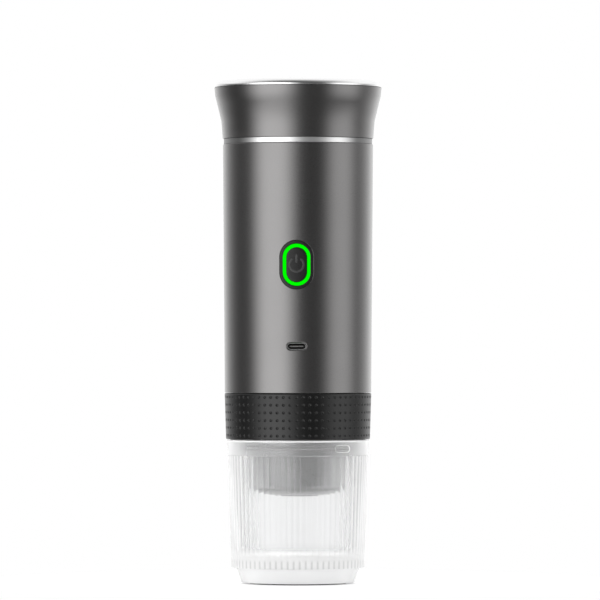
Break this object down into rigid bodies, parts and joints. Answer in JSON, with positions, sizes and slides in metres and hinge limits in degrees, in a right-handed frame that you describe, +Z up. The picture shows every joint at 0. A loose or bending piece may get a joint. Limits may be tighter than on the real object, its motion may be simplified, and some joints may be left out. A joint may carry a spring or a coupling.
{
  "type": "portable electric espresso maker",
  "caption": "Tall portable espresso maker: flared water tank with screw lid, lit power button, charging inlet, dimpled grip and a frosted ribbed cup.",
  "frame": {"origin": "middle of the base, on the surface that the cup's foot ring stands on", "axes": "+Z up along the machine's axis, -Y towards the power button, +X to the right seen from the front"},
  "size_m": [0.08, 0.08, 0.24],
  "materials": {
    "frosted_cup": "frosted translucent",
    "foot_silicone": "matt",
    "collar_plastic": "satin",
    "grip_rubber": "matt, dimpled",
    "seal_rubber": "silicone",
    "bearing_plastic": "slippery",
    "chamber_plastic": "satin",
    "stainless": "brushed",
    "spring_steel": "drawn",
    "nozzle_plastic": "satin",
    "valve_rubber": "silicone",
    "group_plastic": "satin, glass filled",
    "gunmetal": "satin metallic",
    "polished_metal": "polished",
    "mouth_plastic": "satin",
    "heater_aluminium": "cast",
    "sensor_ceramic": "plain",
    "lid_plastic": "satin",
    "lid_trim_metal": "circular brushed",
    "tray_plastic": "moulded",
    "zinc_steel": "zinc plated",
    "cell_wrap": "shrink wrap",
    "nickel": "nickel",
    "magnet": "sintered",
    "motor_steel": "zinc plated",
    "endcap_plastic": "moulded",
    "pump_plastic": "glass filled",
    "gear_plastic": "moulded",
    "hose_silicone": "translucent",
    "circuit_board": "solder mask",
    "board_components": "moulded",
    "led_white": "lens",
    "button_black": "satin",
    "light_guide": "lit green light guide",
    "icon_grey": "printed",
    "usb_steel": "stamped",
    "usb_plastic": "moulded"
  },
  "bodies": {
    "cup": {"cup_body": "frosted_cup", "cup_foot_ring": "foot_silicone"},
    "collar": {"collar_body": "collar_plastic", "grip_sleeve": "grip_rubber", "cup_oring": "seal_rubber", "thrust_washer": "bearing_plastic"},
    "chamber": {"chamber_body": "chamber_plastic", "filter_basket": "stainless", "valve_seat": "stainless", "valve_spring": "spring_steel", "outlet_nozzle": "nozzle_plastic"},
    "valve": {"crema_valve": "valve_rubber"},
    "housing": {"group_head": "group_plastic", "group_gasket": "seal_rubber", "shower_screen": "stainless", "shower_screw": "stainless", "main_shell": "gunmetal", "chrome_ring": "polished_metal", "flare_shell": "gunmetal", "mouth_ring": "mouth_plastic", "tank_liner": "stainless", "tank_gasket": "seal_rubber", "tank_outlet": "nozzle_plastic", "heater_plate": "heater_aluminium", "thermal_fuse": "sensor_ceramic", "ntc_sensor": "sensor_ceramic", "lower_tray": "tray_plastic", "upper_tray": "tray_plastic", "tie_rods": "zinc_steel", "tray_screws": "zinc_steel", "battery_cell_1": "cell_wrap", "battery_cell_2": "cell_wrap", "battery_cell_3": "cell_wrap", "cell_strips": "nickel", "motor_can": "motor_steel", "motor_magnets": "magnet", "motor_endcap": "endcap_plastic", "pump_housing": "pump_plastic", "pump_cover": "pump_plastic", "pump_screws": "zinc_steel", "inlet_hose": "hose_silicone", "outlet_hose": "hose_silicone", "main_board": "circuit_board", "board_parts": "board_components", "switch_body": "board_components", "ring_leds": "led_white", "usb_receptacle": "usb_steel", "usb_tongue": "usb_plastic", "button_bezel": "button_black", "light_ring": "light_guide"},
    "rotor": {"motor_rotor": "motor_steel", "drive_gear": "gear_plastic"},
    "idler": {"driven_gear": "gear_plastic"},
    "button": {"button_cap": "button_black", "button_icon": "icon_grey", "switch_plunger": "button_black"},
    "lid_seal": {"lid_gasket": "seal_rubber"},
    "lid": {"lid_cap": "lid_plastic", "lid_bezel": "polished_metal", "lid_trim": "lid_trim_metal"}
  },
  "joints": [
    {"name": "machine_lift", "type": "slide", "parent": "cup", "child": "collar", "axis": [0, 0, 1], "range_m": [0, 0.045]},
    {"name": "body_turn", "type": "hinge", "parent": "collar", "child": "chamber", "pos_m": [0, 0, 0.075], "axis": [0, 0, 1], "range_deg": [0, 360]},
    {"name": "body_rise", "type": "slide", "parent": "chamber", "child": "housing", "axis": [0, 0, 1], "range_m": [0, 0.0161]},
    {"name": "valve_open", "type": "slide", "parent": "chamber", "child": "valve", "axis": [0, 0, -1], "range_m": [0, 0.0015], "stiffness_N_per_m": 600, "deforming": ["valve_spring"]},
    {"name": "lid_lift", "type": "slide", "parent": "housing", "child": "lid_seal", "axis": [0, 0, 1], "range_m": [0, 0.0121]},
    {"name": "lid_turn", "type": "hinge", "parent": "lid_seal", "child": "lid", "pos_m": [0, 0, 0.236], "axis": [0, 0, 1], "range_deg": [0, 360]},
    {"name": "button_press", "type": "slide", "parent": "housing", "child": "button", "axis": [0, 1, 0], "range_m": [0, 0.0004], "stiffness_N_per_m": 600},
    {"name": "rotor_spin", "type": "hinge", "parent": "housing", "child": "rotor", "pos_m": [0, -0.0075, 0.13], "axis": [0, 0, 1], "continuous": true},
    {"name": "idler_spin", "type": "hinge", "parent": "housing", "child": "idler", "pos_m": [0, 0.00225, 0.104], "axis": [0, 0, 1], "continuous": true}
  ],
  "couplings": [
    {"joint": "body_rise", "follows": "body_turn", "m_per_rad": 0.0025465},
    {"joint": "lid_lift", "follows": "lid_turn", "m_per_rad": 0.0019099},
    {"joint": "idler_spin", "follows": "rotor_spin", "ratio": -1}
  ]
}
